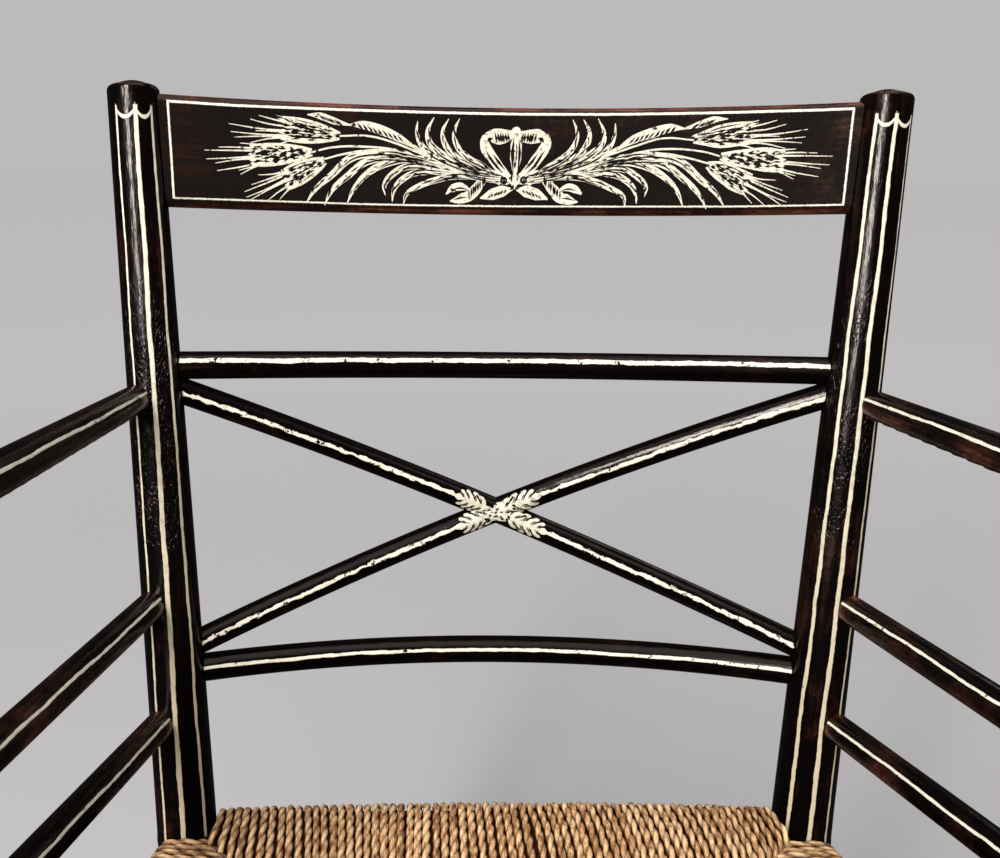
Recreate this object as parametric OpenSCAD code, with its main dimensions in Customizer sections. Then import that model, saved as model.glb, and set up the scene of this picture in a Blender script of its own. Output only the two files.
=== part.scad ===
// Elbow chair with a bowed tablet back, crossed braces and a woven cord seat.
// Sizes are in millimetres. Z is up, the floor is z = 0 and the back is towards +Y.
// The origin is on the floor, in the middle of the chair's length and width.

/* [Overall] */
// Height of the back posts, to the tops of their caps
back_h = 885; // [840:1:940]
// Height of the back seat rail's centre, where the back posts bend
seat_h = 441; // [425:1:455]
// Distance between front and back posts, centre to centre
seat_depth = 380; // [350:1:420]
// Distance between the back posts at the seat, centre to centre
back_span = 386; // [360:1:420]
// Distance between the back posts at their tops, centre to centre
top_span = 418; // [400:1:450]
// Distance between the front posts, centre to centre
front_span = 508; // [480:1:540]
// Rake of the back above the seat, in degrees
back_rake = 8.2; // [5:0.1:11]
// How far the back feet stand behind the bend of the back posts
foot_back = 44; // [20:1:60]
// How far each back foot stands outside the bend of its post
foot_out = 6; // [0:1:14]

/* [Back posts] */
// Radius of the back posts at the bend
knee_r = 18.4; // [17:0.1:20]
// Radius of the back posts under the cap
top_r = 14.1; // [13:0.1:15.5]
// Radius of the back posts at the floor
back_foot_r = 14; // [12:0.1:16]
// Radius of the rounded shoulder of a post's cap
cap_round = 3; // [2:0.1:4]
// Height of the shallow dome on a post's cap
cap_dome = 2.8; // [1.5:0.1:4]

/* [Tablet] */
// How far the tablet's middle lies below the tops of the back posts
tablet_drop = 36; // [33:1:50]
// Height of the tablet, measured along the rake
tablet_tall = 60; // [50:0.1:62]
// Thickness of the tablet
tablet_thick = 15; // [13:0.1:17]
// Radius of the tablet's long edges
tablet_round = 5; // [3:0.1:6]
// How far the middle of the tablet is bowed back
tablet_bow = 32; // [20:1:42]
// Height of the tablet's tenons
tablet_tenon_tall = 40; // [30:1:46]
// Thickness of the tablet's tenons
tablet_tenon_thick = 7; // [5:0.1:8]

/* [Cross rails and braces] */
// How far the upper cross rail lies below the tablet's middle, at the posts
upper_rail_drop = 118; // [104:1:124]
// Radius of the upper cross rail
upper_rail_r = 8.1; // [7:0.1:8.6]
// How far the middle of the upper cross rail is bowed back
upper_rail_bow = 38; // [30:1:44]
// Height of the lower cross rail's centre, at the posts
lower_rail_z = 548; // [535:1:552]
// Radius of the lower cross rail
lower_rail_r = 8.7; // [7.5:0.1:9.2]
// How far the middle of the lower cross rail is bowed back
lower_rail_bow = 44; // [36:1:50]
// How far below the upper cross rail the line of a brace meets the post's centre
brace_top_drop = 9; // [8:0.5:13]
// How far above the lower cross rail the line of a brace meets the post's centre
brace_low_rise = 11; // [9:0.5:22]
// Radius of the crossed braces
brace_r = 7.7; // [7:0.1:8.2]
// How far the middle of the braces is bowed back
brace_bow = 46; // [40:1:52]

/* [Arms] */
// Height of an arm's centre at the back post
arm_z = 714.5; // [702:0.5:722]
// How much higher an arm's centre is over the front post
arm_rise = 10; // [-2:1:16]
// How far outside the middle of the back posts the arms and arm rails meet them
arm_outset = 6; // [0:0.5:6.5]
// Radius of an arm at the back post
arm_back_r = 8.1; // [7.4:0.1:9]
// Radius of an arm over the front post
arm_front_r = 11; // [10:0.1:13]
// Length of an arm past the middle of the front post
arm_past = 24; // [16:1:34]
// Height of the upper arm rail's centre at the back post
arm_rail_high_z = 594; // [584:0.5:606]
// How much higher the upper arm rail is at the front post
arm_rail_high_rise = 32; // [10:1:40]
// Height of the lower arm rail's centre at the back post
arm_rail_low_z = 520; // [512:0.5:528]
// How much higher the lower arm rail is at the front post
arm_rail_low_rise = 56; // [30:1:62]
// Radius of the arm rails
arm_rail_r = 8.5; // [7.5:0.1:9]

/* [Front posts] */
// Radius of the front posts where the seat rails meet
front_block_r = 18.4; // [17:0.1:20]
// Height of that thick part of the front posts
front_block_h = 76; // [72:1:90]
// Radius of the front legs under the seat
front_leg_r = 17; // [15:0.1:18]
// Radius of the front legs above the foot
front_ankle_r = 11.8; // [11:0.1:13]
// Radius of the front posts just above the seat
arm_post_low_r = 14.6; // [13.5:0.1:16]
// Radius of the front posts under the arm
arm_post_top_r = 11.6; // [10.5:0.1:12.5]
// Radius of the turned foot
front_foot_r = 13.2; // [12:0.1:15]
// Height of the turned foot
front_foot_h = 20; // [14:1:30]
// Radius of a turned ring's rounding
ring_r = 2.6; // [1.5:0.1:3.5]

/* [Seat] */
// How much higher the front seat rail is than the back one
seat_rise = 16; // [0:1:24]
// How far the side seat rails lie below the front and back ones
rail_stagger = 13.5; // [13:0.1:15]
// Radius of the seat rails inside the cord
seat_rail_r = 11; // [10:0.1:12]
// Thickness of the cord
cord_d = 5.3; // [4.5:0.1:6]
// How far the middle of each seat edge stands above its ends
edge_crown = 6; // [0:0.5:8]
// How far the stuffed panels stand above the cord on the rails
panel_rise = 4; // [0:0.5:8]
// Depth of the valleys where two panels meet
valley = 2.5; // [0:0.1:4]

/* [Stretchers] */
// Height of the lower side stretchers
side_stretcher_low_z = 150; // [120:1:170]
// Height of the upper side stretchers
side_stretcher_high_z = 285; // [265:1:300]
// Height of the lower front stretcher
front_stretcher_low_z = 208; // [190:1:230]
// Height of the upper front stretcher
front_stretcher_high_z = 335; // [320:1:350]
// Height of the back stretcher
back_stretcher_z = 235; // [200:1:250]
// Radius of a stretcher's middle
stretcher_r = 8.6; // [8:0.1:10]
// Radius of a stretcher at its ends
stretcher_end_r = 6.8; // [6.4:0.1:7.5]
// Length of a stretcher's tapered end
stretcher_taper = 60; // [40:1:80]

/* [Joints] */
// Radius of the round tenons on seat rails, arms, arm rails and stretchers
tenon_r = 5.8; // [5:0.1:6.1]
// Depth of those tenons in the posts
tenon_deep = 11; // [9:0.5:12]
// Radius of the round tenons on the bowed cross rails and the braces
slim_tenon_r = 4.4; // [4:0.1:4.8]
// Depth of the tenons on the bowed cross rails, the braces and the tablet
slim_tenon_deep = 9; // [7:0.5:10]
// Radial clearance round a tenon
tenon_gap = 0.1; // [0.05:0.01:0.2]
// Gap between a coped shoulder and the post
shoulder_gap = 0.1; // [0.05:0.01:0.2]
// Space left past the end of a tenon
end_gap = 0.6; // [0.3:0.1:1]
// Gap between the cord and the wood inside it
cord_gap = 0.35; // [0.3:0.05:0.6]
// Radius of the wooden pegs
peg_r = 2.2; // [1.8:0.1:2.6]
// Radial clearance round a peg
peg_gap = 0.05; // [0.03:0.01:0.1]

/* [Hidden] */
$fn = 64;

left = -1;
right = 1;
wood = "#241713";
wood_worn = "#3a1f17";
cord = "#b7905a";

// Heights of the tablet's middle, the upper cross rail and the ends of the braces
tablet_z = back_h - tablet_drop;
upper_rail_z = tablet_z - upper_rail_drop;
brace_top_z = upper_rail_z - brace_top_drop;
brace_low_z = lower_rail_z + brace_low_rise;

// Reach of the chair in front of the front posts, and behind the bend of the back posts
front_reach = arm_past + arm_front_r;
back_reach = (tablet_z - seat_h) * tan(back_rake) + tablet_tall / 2 * sin(back_rake)
             + (tablet_bow + tablet_thick / 2) * cos(back_rake);
knee_y = (seat_depth + front_reach - back_reach) / 2;
front_y = knee_y - seat_depth;
front_x = front_span / 2;

// Room kept for cuts that run out of a solid, and depth that joins two shapes of one solid
run_out = 6;
merge = 4;
// How much fuller the bend of a back post is than the bars that meet in it
knee_full = 0.4;
// Depth of the groove round the dome of a cap, and its width
cap_groove = 0.7;
cap_groove_wide = 1;
// Height above the foot's flat face where it begins to narrow, as a share of its height
foot_waist = 0.55;
// Rounding of the foot's lower edge
foot_round = 2;
// Distance from a turned ring to the shape that it belongs to
ring_step = 5 * ring_r;
// How far the pin in an arm is thinner than a tenon, and how far it reaches above the arm's middle
arm_pin_thin = 0.6;
arm_pin_share = 0.45;
// A peg's distance inside the post's middle line, how deep its head sits and how far its point
// reaches past the middle, as a share of its head's side
peg_in = 6;
peg_sunk = 0.6;
peg_past = 0.6;

function lerp(a, b, t) = a + (b - a) * t;
function unit(v) = v / norm(v);
function arc(centre, r, from, to, steps = 6) =
    [for (i = [0:steps]) let (a = lerp(from, to, i / steps)) centre + r * [cos(a), sin(a)]];

// Centre line and radius of the back posts at a height
function back_x(z) = z > seat_h
    ? lerp(back_span, top_span, (z - seat_h) / (back_h - seat_h)) / 2
    : lerp(back_span / 2 + foot_out, back_span / 2, z / seat_h);
function back_y(z) = z > seat_h
    ? knee_y + (z - seat_h) * tan(back_rake)
    : lerp(knee_y + foot_back, knee_y, z / seat_h);
function back_point(side, z, out = 0) = [side * (back_x(z) + out), back_y(z), z];
// Length of a post above its bend, and the height where its cap begins to round over
back_long = norm(back_point(right, back_h) - back_point(right, seat_h));
cap_long = cap_round + cap_dome;
cap_z = back_h - cap_long * (back_h - seat_h) / back_long;
function back_r(z) = z > seat_h
    ? lerp(knee_r, top_r, (z - seat_h) / (cap_z - seat_h))
    : lerp(back_foot_r, knee_r, z / seat_h);

// Centre line and radius of the front posts at a height
block_low_z = seat_h + seat_rise - rail_stagger / 2 - front_block_h / 2;
block_top_z = block_low_z + front_block_h;
ankle_z = front_foot_h + 3 * ring_r;
arm_front_z = arm_z + arm_rise;
function front_r(z) = z < block_low_z
    ? lerp(front_ankle_r, front_leg_r, (z - ankle_z) / (block_low_z - ankle_z))
    : z < block_top_z ? front_block_r
    : lerp(arm_post_low_r, arm_post_top_r, (z - block_top_z) / (arm_front_z - block_top_z));
function front_point(side, z) = [side * front_x, front_y, z];

// Stands what is drawn along Z at p, turned towards q
module along(p, q) {
    v = q - p;
    translate(p) rotate([0, acos(v.z / norm(v)), atan2(v.y, v.x)]) children();
}
// A round bar between two points
module rod(p, q, ra, rb) {
    along(p, q) cylinder(h = norm(q - p), r1 = ra, r2 = rb);
}

// The tenon that a bar from post centre p towards q has, and its socket in the post
module tenon(p, q, post_r, r, deep) {
    d = unit(q - p);
    rod(p + d * (post_r - deep), p + d * (post_r + merge), r, r);
}
module socket(p, q, post_r, r, deep) {
    d = unit(q - p);
    rod(p + d * (post_r - deep - end_gap), p + d * (post_r + run_out), r + tenon_gap, r + tenon_gap);
}

// The plain round body of a post, grown by a gap, which the bars are coped to
module back_post_low(side, grow = 0) {
    below = -10;
    // Turned, so that the line where its surface closes meets the floor at the foot's side
    along(back_point(side, seat_h), back_point(side, below)) rotate([0, 0, 90])
        cylinder(h = norm(back_point(side, below) - back_point(side, seat_h)),
                 r1 = knee_r + grow, r2 = back_r(below) + grow);
    translate(back_point(side, seat_h)) sphere(r = knee_r + knee_full + grow);
}
module back_post_core(side, grow = 0) {
    back_post_low(side, grow);
    rod(back_point(side, seat_h), back_point(side, cap_z), knee_r + grow, top_r + grow);
}
module front_post_core(side, grow = 0) {
    rod(front_point(side, ankle_z), front_point(side, block_low_z),
        front_ankle_r + grow, front_leg_r + grow);
    rod(front_point(side, block_low_z - grow), front_point(side, block_top_z + grow),
        front_block_r + grow, front_block_r + grow);
    rod(front_point(side, block_top_z), front_point(side, arm_front_z),
        arm_post_low_r + grow, arm_post_top_r + grow);
}

// Places what is drawn in the plane of the back, with the height above the floor given at the posts
module in_back(z) {
    translate([0, back_y(z), z]) rotate([-back_rake, 0, 0]) children();
}

// Half the angle and the radius of an arc with this half chord and bow
function arc_r(half, bow) = (half * half + bow * bow) / (2 * bow);
function arc_half(half, bow) = asin(half / arc_r(half, bow));

// Sweeps a section along an arc whose chord lies on X and which bows towards +Y
module bowed(half, bow) {
    r = arc_r(half, bow);
    a = arc_half(half, bow);
    translate([0, bow - r, 0]) rotate([0, 0, 90 - a])
        rotate_extrude(angle = 2 * a, $fn = 128) translate([r, 0]) children();
}

// Direction in which an arc leaves its left end, with the chord on X
function arc_way(half, bow) = [cos(arc_half(half, bow)), sin(arc_half(half, bow)), 0];

// The straight tenons or sockets at both ends of a bowed round bar
module bow_ends(half, bow, post_r, is_socket) {
    for (end = [-1, 1]) {
        p = [end * half, 0, 0];
        way = arc_way(half, bow);
        q = p + [-end * way.x, way.y, 0];
        if (is_socket) socket(p, q, post_r, slim_tenon_r, slim_tenon_deep);
        else tenon(p, q, post_r, slim_tenon_r, slim_tenon_deep);
    }
}

// Bowed cross rails
module cross_rail_body(z, r, bow, grow = 0) {
    in_back(z) bowed(back_x(z), bow) circle(r = r + grow);
}
module cross_rail_ends(z, bow, is_socket) {
    in_back(z) bow_ends(back_x(z), bow, back_r(z), is_socket);
}
module cross_rail(z, r, bow) {
    color(wood) {
        difference() {
            cross_rail_body(z, r, bow);
            for (side = [left, right]) back_post_core(side, shoulder_gap);
        }
        cross_rail_ends(z, bow, false);
    }
}
module upper_cross_rail() { cross_rail(upper_rail_z, upper_rail_r, upper_rail_bow); }
module lower_cross_rail() { cross_rail(lower_rail_z, lower_rail_r, lower_rail_bow); }

// Crossed braces: the ends of the chord in the plane of the back, for the falling one
brace_high = (brace_top_z - seat_h) / cos(back_rake);
brace_deep = (brace_low_z - seat_h) / cos(back_rake);
brace_start = [-back_x(brace_top_z), brace_high];
brace_end = [back_x(brace_low_z), brace_deep];
brace_half = norm(brace_end - brace_start) / 2;
brace_tilt = atan2(brace_start.y - brace_end.y, brace_end.x - brace_start.x);
brace_middle = (brace_start + brace_end) / 2;
// Where the two braces cross, on the middle line of the back
crossing_t = -brace_start.x / (brace_end.x - brace_start.x);
crossing_s = lerp(brace_start.y, brace_end.y, crossing_t);
crossing_off = norm(brace_middle - [0, crossing_s]);
brace_arc_r = arc_r(brace_half, brace_bow);
crossing_bow = brace_bow - brace_arc_r + sqrt(pow(brace_arc_r, 2) - pow(crossing_off, 2));

module in_brace(way) {
    in_back(seat_h) mirror([way < 0 ? 1 : 0, 0, 0])
        translate([brace_middle.x, 0, brace_middle.y]) rotate([0, brace_tilt, 0]) children();
}
module brace_body(way, grow = 0) {
    in_brace(way) bowed(brace_half, brace_bow) circle(r = brace_r + grow);
}
module brace_ends(way, is_socket) {
    post_r = (back_r(brace_top_z) + back_r(brace_low_z)) / 2;
    in_brace(way) bow_ends(brace_half, brace_bow, post_r, is_socket);
}
// The half of the room at the crossing that lies in front of the braces' middle, or behind it
module lap_room(front) {
    size = 6 * brace_r;
    in_back(seat_h) translate([0, crossing_bow + (front ? -1 : 1) * size / 2, crossing_s])
        cube(size, center = true);
}
module brace(way) {
    color(wood) {
        difference() {
            brace_body(way);
            for (side = [left, right]) back_post_core(side, shoulder_gap);
            cross_rail_body(upper_rail_z, upper_rail_r, upper_rail_bow, shoulder_gap);
            cross_rail_body(lower_rail_z, lower_rail_r, lower_rail_bow, shoulder_gap);
            // The half lap: the rising brace lies in front
            intersection() {
                brace_body(-way, shoulder_gap);
                lap_room(way > 0);
            }
        }
        brace_ends(way, false);
    }
}
module brace_falling() { brace(1); }
module brace_rising() { brace(-1); }

// Bowed tablet between the tops of the back posts
tablet_half = back_x(tablet_z);
tablet_turn = arc_half(tablet_half, tablet_bow);
tablet_post_r = back_r(tablet_z);
module tablet_section() {
    tall = tablet_tall / 2 - tablet_round;
    deep = tablet_thick / 2 - tablet_round;
    square([tablet_thick, 2 * tall], center = true);
    square([2 * deep, tablet_tall], center = true);
    for (x = [-deep, deep], y = [-tall, tall]) translate([x, y]) circle(r = tablet_round);
}
// Tenons of the tablet, or the mortises for them
module tablet_ends(gap, spare) {
    in_back(tablet_z) for (end = [-1, 1]) translate([end * tablet_half, 0, 0])
        rotate([0, 0, end < 0 ? tablet_turn : 180 - tablet_turn])
            translate([tablet_post_r - slim_tenon_deep - spare, -tablet_tenon_thick / 2 - gap,
                       -tablet_tenon_tall / 2 - gap])
                cube([slim_tenon_deep + spare + merge, tablet_tenon_thick + 2 * gap,
                      tablet_tenon_tall + 2 * gap]);
}
module crest_tablet() {
    color(wood_worn) difference() {
        union() {
            difference() {
                in_back(tablet_z) bowed(tablet_half, tablet_bow) tablet_section();
                for (side = [left, right]) back_post_core(side, shoulder_gap);
            }
            tablet_ends(0, 0);
        }
        for (side = [left, right]) tablet_peg(side, peg_gap, true);
    }
}

// Wooden pegs that pin the tablet and the arms, each driven in from where it doesn't show
module tablet_peg(side, grow = 0, is_hole = false) {
    head = sqrt(pow(tablet_post_r, 2) - pow(peg_in, 2)) - peg_sunk;
    past = is_hole ? run_out : 0;
    in_back(tablet_z) translate([side * (tablet_half - peg_in), head + past, 0]) rotate([90, 0, 0])
        cylinder(h = head * (1 + peg_past) + past + grow, r = peg_r + grow);
}
module arm_peg(side, grow = 0, is_hole = false) {
    p = arm_start(side);
    d = arm_way(side);
    outward = unit([side * -d.y, side * d.x, 0]);
    middle = p + d * peg_in;
    off = middle - back_point(side, middle.z);
    near = off * outward;
    head = sqrt(pow(back_r(arm_z), 2) - off * off + near * near) - near - peg_sunk;
    rod(middle + outward * (head + (is_hole ? run_out : 0)),
        middle - outward * (head * peg_past + grow), peg_r + grow, peg_r + grow);
}
module joint_pegs() {
    color(wood_worn) for (side = [left, right]) {
        tablet_peg(side);
        arm_peg(side);
    }
}

// Bars between a back post and a front post
module side_ends(side, back_z, front_z, is_socket, outset = 0) {
    p = back_point(side, back_z, outset);
    q = front_point(side, front_z);
    if (is_socket) {
        socket(p, q, back_r(back_z), tenon_r, tenon_deep);
        socket(q, p, front_r(front_z), tenon_r, tenon_deep);
    } else {
        tenon(p, q, back_r(back_z), tenon_r, tenon_deep);
        tenon(q, p, front_r(front_z), tenon_r, tenon_deep);
    }
}
module side_bar(side, back_z, front_z, r, outset = 0) {
    color(wood) {
        difference() {
            rod(back_point(side, back_z, outset), front_point(side, front_z), r, r);
            back_post_core(side, shoulder_gap);
            front_post_core(side, shoulder_gap);
        }
        side_ends(side, back_z, front_z, false, outset);
    }
}
module upper_arm_rail(side) {
    side_bar(side, arm_rail_high_z, arm_rail_high_z + arm_rail_high_rise, arm_rail_r, arm_outset);
}
module lower_arm_rail(side) {
    side_bar(side, arm_rail_low_z, arm_rail_low_z + arm_rail_low_rise, arm_rail_r, arm_outset);
}
side_rail_z = seat_h - rail_stagger;
module seat_side_rail(side) {
    side_bar(side, side_rail_z, side_rail_z + seat_rise, seat_rail_r);
}

// Arms: each runs from the back post over the top of the front post
arm_pin_r = tenon_r - arm_pin_thin;
arm_pin_up = arm_front_r * arm_pin_share;
function arm_start(side) = back_point(side, arm_z, arm_outset);
function arm_way(side) = unit(front_point(side, arm_front_z) - arm_start(side));
function arm_end(side) = front_point(side, arm_front_z) + arm_way(side) * arm_past;
module arm_body(side, grow = 0) {
    p = arm_start(side);
    q = arm_end(side);
    long = norm(q - p);
    r = lerp(arm_back_r, arm_front_r, long / norm(front_point(side, arm_front_z) - p));
    along(p, q) rotate_extrude() {
        polygon([[0, 0], [arm_back_r + grow, 0], [r + grow, long], [0, long]]);
        translate([0, long]) intersection() {
            circle(r = r + grow);
            translate([0, -merge]) square(2 * r);
        }
    }
}
module arm_pin(side, gap, spare) {
    translate(front_point(side, arm_front_z - arm_front_r - merge))
        cylinder(h = arm_front_r + merge + arm_pin_up + spare, r = arm_pin_r + gap);
}
module arm(side) {
    color(wood) difference() {
        union() {
            difference() {
                arm_body(side);
                back_post_core(side, shoulder_gap);
            }
            tenon(arm_start(side), arm_end(side), back_r(arm_z), tenon_r, tenon_deep);
        }
        arm_pin(side, tenon_gap, end_gap);
        arm_peg(side, peg_gap, true);
    }
}

// Back posts
module back_post_high(side) {
    shoulder = top_r - cap_round;
    cap_start = back_long - cap_long;
    dome_edge = shoulder - cap_groove_wide;
    dome_r = (pow(dome_edge, 2) + pow(cap_dome, 2)) / (2 * cap_dome);
    along(back_point(side, seat_h), back_point(side, back_h)) rotate_extrude() polygon(concat(
        [[0, 0], [knee_r, 0]],
        arc([shoulder, cap_start], cap_round, 0, 90),
        [[(shoulder + dome_edge) / 2, back_long - cap_dome - cap_groove]],
        arc([0, back_long - dome_r], dome_r, asin(1 - cap_dome / dome_r), 90)));
}
module back_post(side) {
    color(wood) difference() {
        union() {
            back_post_low(side);
            back_post_high(side);
        }
        translate([-front_span, -front_span, -front_span])
            cube([2 * front_span, 2 * front_span, front_span]);
        cross_rail_ends(upper_rail_z, upper_rail_bow, true);
        cross_rail_ends(lower_rail_z, lower_rail_bow, true);
        for (way = [-1, 1]) brace_ends(way, true);
        tablet_ends(tenon_gap, end_gap);
        side_ends(side, arm_rail_high_z, arm_rail_high_z + arm_rail_high_rise, true, arm_outset);
        side_ends(side, arm_rail_low_z, arm_rail_low_z + arm_rail_low_rise, true, arm_outset);
        side_ends(side, side_rail_z, side_rail_z + seat_rise, true);
        for (z = [side_stretcher_low_z, side_stretcher_high_z]) side_ends(side, z, z, true);
        socket(arm_start(side), arm_end(side), back_r(arm_z), tenon_r, tenon_deep);
        across_ends(back_point(left, seat_h), back_r(seat_h), true);
        across_ends(back_point(left, back_stretcher_z), back_r(back_stretcher_z), true);
        tablet_peg(side, peg_gap, true);
        arm_peg(side, peg_gap, true);
    }
}

// Front posts, turned in one piece from the foot to the pin in the arm
ring_low_z = block_low_z - ring_step;
ring_high_z = block_top_z + ring_step;
ring_arm_z = arm_front_z - arm_front_r - ring_step;
module turned_ring(side, z) {
    translate(front_point(side, z)) rotate_extrude() translate([front_r(z), 0]) circle(r = ring_r);
}
module front_foot(side) {
    translate(front_point(side, 0)) rotate_extrude() polygon(concat(
        [[0, 0], [front_foot_r - foot_round, 0]],
        arc([front_foot_r - foot_round, foot_round], foot_round, -90, 0),
        [[front_foot_r, front_foot_h * foot_waist], [front_ankle_r, front_foot_h],
         [front_ankle_r, ankle_z], [0, ankle_z]]));
}
module front_post(side) {
    color(wood) difference() {
        union() {
            difference() {
                union() {
                    front_foot(side);
                    front_post_core(side);
                    for (z = [ring_low_z, ring_high_z, ring_arm_z]) turned_ring(side, z);
                }
                arm_body(side, shoulder_gap);
            }
            arm_pin(side, 0, 0);
        }
        side_ends(side, arm_rail_high_z, arm_rail_high_z + arm_rail_high_rise, true, arm_outset);
        side_ends(side, arm_rail_low_z, arm_rail_low_z + arm_rail_low_rise, true, arm_outset);
        side_ends(side, side_rail_z, side_rail_z + seat_rise, true);
        for (z = [side_stretcher_low_z, side_stretcher_high_z]) side_ends(side, z, z, true);
        for (z = [seat_h + seat_rise, front_stretcher_low_z, front_stretcher_high_z])
            across_ends(front_point(left, z), front_r(z), true);
    }
}

// Bars that run across, from a left point to its mirror image
function across(p) = [-p.x, p.y, p.z];
module across_ends(p, post_r, is_socket) {
    for (way = [0, 1]) {
        from = way == 0 ? p : across(p);
        to = way == 0 ? across(p) : p;
        if (is_socket) socket(from, to, post_r, tenon_r, tenon_deep);
        else tenon(from, to, post_r, tenon_r, tenon_deep);
    }
}
module seat_rail_front() {
    p = front_point(left, seat_h + seat_rise);
    color(wood) {
        difference() {
            rod(p, across(p), seat_rail_r, seat_rail_r);
            for (side = [left, right]) front_post_core(side, shoulder_gap);
        }
        across_ends(p, front_block_r, false);
    }
}
module seat_rail_back() {
    p = back_point(left, seat_h);
    color(wood) {
        difference() {
            rod(p, across(p), seat_rail_r, seat_rail_r);
            for (side = [left, right]) back_post_core(side, shoulder_gap);
        }
        across_ends(p, knee_r, false);
    }
}

// Stretchers: a plain middle with tapered ends
module tapered_bar(p, q) {
    long = norm(q - p);
    along(p, q) rotate_extrude() polygon([[0, 0], [stretcher_end_r, 0], [stretcher_r, stretcher_taper],
        [stretcher_r, long - stretcher_taper], [stretcher_end_r, long], [0, long]]);
}
module side_stretcher(side, z) {
    color(wood) {
        difference() {
            tapered_bar(back_point(side, z), front_point(side, z));
            back_post_core(side, shoulder_gap);
            front_post_core(side, shoulder_gap);
        }
        side_ends(side, z, z, false);
    }
}
module front_stretcher(z) {
    p = front_point(left, z);
    color(wood) {
        difference() {
            union() {
                tapered_bar(p, across(p));
                for (x = [-ring_step, 0, ring_step]) translate([x, front_y, z]) rotate([0, 90, 0])
                    rotate_extrude() translate([stretcher_r, 0]) circle(r = x == 0 ? 1.5 * ring_r : ring_r);
            }
            for (side = [left, right]) front_post_core(side, shoulder_gap);
        }
        across_ends(p, front_r(z), false);
    }
}
module back_stretcher() {
    p = back_point(left, back_stretcher_z);
    color(wood) {
        difference() {
            tapered_bar(p, across(p));
            for (side = [left, right]) back_post_core(side, shoulder_gap);
        }
        across_ends(p, back_r(back_stretcher_z), false);
    }
}

// Woven cord seat: a closed form wound over the four seat rails, with a panel from each rail
wrap_r = seat_rail_r + cord_d;
deepest = seat_depth * 0.48;
// Corners run anticlockwise from the front left, and side k starts at corner k
function seat_corner(k) = [[-front_x, front_y], [front_x, front_y],
                           [back_span / 2, knee_y], [-back_span / 2, knee_y]][k % 4];
function side_in(k) = let (d = unit(seat_corner(k + 1) - seat_corner(k))) [-d.y, d.x];
function mitre(k) = let (a = side_in(k + 3), b = side_in(k)) (a + b) / (1 + a * b);
function ring_corner(k, d) = seat_corner(k)
    + (d > 0 ? mitre(k) * d : (side_in(k + 3) + side_in(k)) / 2 * d);
function ring_point(k, u, d) = u == 0 ? ring_corner(k, d)
    : d > 0 ? lerp(ring_corner(k, d), ring_corner(k + 1, d), u)
    : lerp(seat_corner(k), seat_corner(k + 1), u) + side_in(k) * d;
function seat_level(y) = seat_h + seat_rise * (knee_y - y) / seat_depth;
function is_side(k) = k % 2;
fade_d = 110;
function drop(k, u, d) = rail_stagger * max(0, 1 - max(d, 0) / fade_d)
    * (u == 0 ? 0.5 : is_side(k));
function bump(u) = 1 - pow(2 * u - 1, 2);
// Each row of the form: inset from the rail, height, share of the crown, share of the valley
seat_rows = [
    [deepest, -wrap_r * 0.7, 0, 0],
    [70, -wrap_r * 0.85, 0, 0],
    [0, -wrap_r, 0, 0],
    [-wrap_r * cos(45), -wrap_r * sin(45), 0, 0],
    [-wrap_r, 0, 0.2, 0],
    [-wrap_r * cos(45), wrap_r * sin(45), 0.7, 0],
    [0, wrap_r, 1, 0],
    [22, wrap_r + panel_rise * 0.6, 1, 0.6],
    [60, wrap_r + panel_rise, 0.8, 1],
    [120, wrap_r + panel_rise, 0.4, 1],
    [deepest, wrap_r + panel_rise * 0.5, 0, 0]];
seat_steps = [0, 0.055, 0.2, 0.4, 0.6, 0.8, 0.945];
ring_n = 4 * len(seat_steps);
function seat_point(row, k, u) = let (p = ring_point(k, u, row[0]))
    [p.x, p.y, seat_level(p.y) - drop(k, u, row[0]) + row[1]
     + edge_crown * row[2] * bump(u) - valley * row[3] * (1 - bump(u))];
module seat_form() {
    points = [for (row = seat_rows, k = [0:3], u = seat_steps) seat_point(row, k, u)];
    function at(j, i) = j * ring_n + i % ring_n;
    walls = [for (j = [0:len(seat_rows) - 2], i = [0:ring_n - 1], half = [0, 1])
        half == 0 ? [at(j, i), at(j + 1, i), at(j + 1, i + 1)]
                  : [at(j, i), at(j + 1, i + 1), at(j, i + 1)]];
    under = [for (i = [0:ring_n - 1]) [len(points), at(0, i), at(0, i + 1)]];
    last = len(seat_rows) - 1;
    over = [for (i = [0:ring_n - 1]) [len(points) + 1, at(last, i + 1), at(last, i)]];
    middles = [for (row = [seat_rows[0], seat_rows[last]])
        let (y = (ring_corner(0, row[0]).y + ring_corner(2, row[0]).y) / 2)
        [0, y, seat_level(y) + row[1] - valley * row[3]]];
    polyhedron(concat(points, middles), concat(walls, under, over), convexity = 6);
}
module woven_seat() {
    room = seat_rail_r + cord_gap;
    back = back_point(left, seat_h);
    front = front_point(left, seat_h + seat_rise);
    color(cord) difference() {
        seat_form();
        rod(back, across(back), room, room);
        rod(front, across(front), room, room);
        for (side = [left, right]) {
            rod(back_point(side, side_rail_z), front_point(side, side_rail_z + seat_rise), room, room);
            back_post_core(side, cord_gap);
            front_post_core(side, cord_gap);
        }
    }
}

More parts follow.
